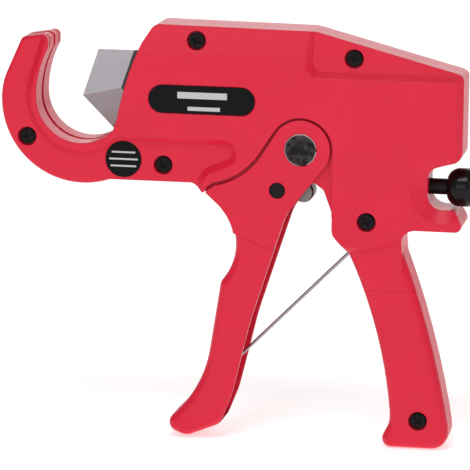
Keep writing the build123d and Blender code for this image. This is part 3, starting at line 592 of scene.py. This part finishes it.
def moulded_plastic():
    """Glossy black plastic in one shade, with a faint flow pattern in its gloss."""
    finish = Finish("glossy_black_plastic", Base_Color=KNOB_BLACK, IOR=1.49, Specular_IOR_Level=0.2)
    flow = finish.noise(finish.place()[0], 4 * MM, detail=3.0, stretch=(1, 1, 3))
    finish.feed(Roughness=0.16 + 0.10 * flow, Normal=finish.bumps(flow, 0.02 * MM))
    return finish


black_steel.coat(nodes["release_rod"])
pin_steel.coat(nodes["rod_collar"])
pin_steel.coat(nodes["rod_cross_pin"])
moulded_plastic().coat(nodes["release_knob"])

# ---------------------------------------------------------------- labels
# Thin black film in two seats of the near half: an oval plate on the body and a round one on the hook.
# Both carry plain pale bars and no lettering. A bar here is its middle (x, z), its length and its height,
# in millimetres.
PLATE_BARS = ((56.6, 3.1, 23.0, 3.0), (57.4, -3.0, 15.0, 1.8))
DISC_BARS = ((19.6, -24.8, 11.0, 0.8), (19.6, -28.0, 13.4, 0.8), (19.6, -31.2, 12.0, 0.8))
FILM_BLACK = (0.005, 0.0045, 0.005, 1)
PRINT_GREY = (0.55, 0.54, 0.54, 1)


def printed_film(name, bars):
    """Black film with bars. A bar is where |x − middle| is under half its length and |z − middle| is under
    half its height."""
    finish = Finish(name, IOR=1.45, Specular_IOR_Level=0.12)
    point, x, _, z = finish.place()
    print_mask = 0.0
    for bar_x, bar_z, length, height in bars:
        inside = (abs(x - bar_x * MM) < length * MM / 2) * (abs(z - bar_z * MM) < height * MM / 2)
        print_mask = inside + print_mask
    grain = finish.noise(point, 0.4 * MM, detail=2.0)
    finish.feed(
        Base_Color=finish.blend(print_mask, FILM_BLACK, PRINT_GREY),
        Roughness=0.42 + 0.1 * grain,
        Normal=finish.bumps(grain, 0.004 * MM),
    )
    return finish


printed_film("name_plate_film", PLATE_BARS).coat(nodes["name_plate"])
printed_film("round_label_film", DISC_BARS).coat(nodes["safety_disc"])

# ---------------------------------------------------------------- dowels and buffer
# Two ground steel pins locate the halves on each other. A moulded block of black rubber lies behind the
# rack and stops the slide at the rear.
pin_steel.coat(nodes["dowels"])
rubber = Finish("black_rubber", Base_Color=(0.020, 0.020, 0.020, 1), Roughness=0.75)
rubber.feed(Normal=rubber.bumps(rubber.noise(rubber.place()[0], 0.5 * MM), 0.03 * MM))
rubber.coat(nodes["rear_buffer"])

# ---------------------------------------------------------------- stage
# A wide pale floor just under the tool, four soft lamps and an even white sky. The floor glows a little,
# so that it stays white round the shadow.
FLOOR_REACH = 6.0
FLOOR_GAP = 0.4 * MM
SKY = 0.30
floor_z = cad_box[0][2] - FLOOR_GAP
floor_mesh = bpy.data.meshes.new("floor")
floor_mesh.from_pydata([(-FLOOR_REACH, -FLOOR_REACH, floor_z), (FLOOR_REACH, -FLOOR_REACH, floor_z),
                        (FLOOR_REACH, FLOOR_REACH, floor_z), (-FLOOR_REACH, FLOOR_REACH, floor_z)],
                       [], [(0, 1, 2, 3)])
floor = bpy.data.objects.new("floor", floor_mesh)
bpy.context.scene.collection.objects.link(floor)
Finish("pale_floor", Base_Color=(0.9, 0.9, 0.9, 1), Roughness=0.9, Emission_Color=(1, 1, 1, 1),
       Emission_Strength=0.55).coat(floor)

world = bpy.data.worlds.new("studio")
bpy.context.scene.world = world
world.use_nodes = True
world.node_tree.nodes["Background"].inputs["Color"].default_value = (1, 1, 1, 1)
world.node_tree.nodes["Background"].inputs["Strength"].default_value = SKY


def softbox(name, place, aim, size, power):
    """A square area lamp at a place, aimed at a point. Its size is in metres and its power in watts."""
    lamp = bpy.data.lights.new(name, "AREA")
    lamp.size = size
    lamp.energy = power
    holder = bpy.data.objects.new(name, lamp)
    bpy.context.scene.collection.objects.link(holder)
    holder.location = place
    holder.rotation_mode = "QUATERNION"
    holder.rotation_quaternion = (Vector(aim) - Vector(place)).to_track_quat("-Z", "Y")


middle = [(low + high) / 2 for low, high in zip(*cad_box)]
softbox("key", (0.05, -0.75, 1.15), middle, 0.5, 6.2)
softbox("card", (-0.33, -2.0, 0.46), middle, 0.8, 4.0)
softbox("fill", (1.0, -0.8, 0.5), middle, 0.8, 1.5)
softbox("back", (0.2, 2.4, 0.9), middle, 2.0, 16.0)

# The camera stands a little to the right of the tool and a little above it, with a long lens.
AIM = Vector((70.3, 0, -63.1)) * MM
AZIMUTH = math.radians(10.2)
ELEVATION = math.radians(10.9)
ROLL = math.radians(0.7)
DISTANCE = 1.6614
SENSOR_WIDTH = 36.0
FOCAL_LENGTH = 275.75
forward = Vector((-math.sin(AZIMUTH) * math.cos(ELEVATION), math.cos(AZIMUTH) * math.cos(ELEVATION),
                  -math.sin(ELEVATION)))
right = Vector((math.cos(AZIMUTH), math.sin(AZIMUTH), 0))
up = right.cross(forward)
rolled_right = right * math.cos(ROLL) + up * math.sin(ROLL)
rolled_up = up * math.cos(ROLL) - right * math.sin(ROLL)
lens = bpy.data.cameras.new("camera")
lens.sensor_width = SENSOR_WIDTH
lens.lens = FOCAL_LENGTH
camera = bpy.data.objects.new("camera", lens)
bpy.context.scene.collection.objects.link(camera)
turn = Matrix((rolled_right, rolled_up, -forward)).transposed()
camera.matrix_world = Matrix.Translation(AIM - forward * DISTANCE) @ turn.to_4x4()
bpy.context.scene.camera = camera
bpy.context.scene.view_settings.view_transform = "Standard"
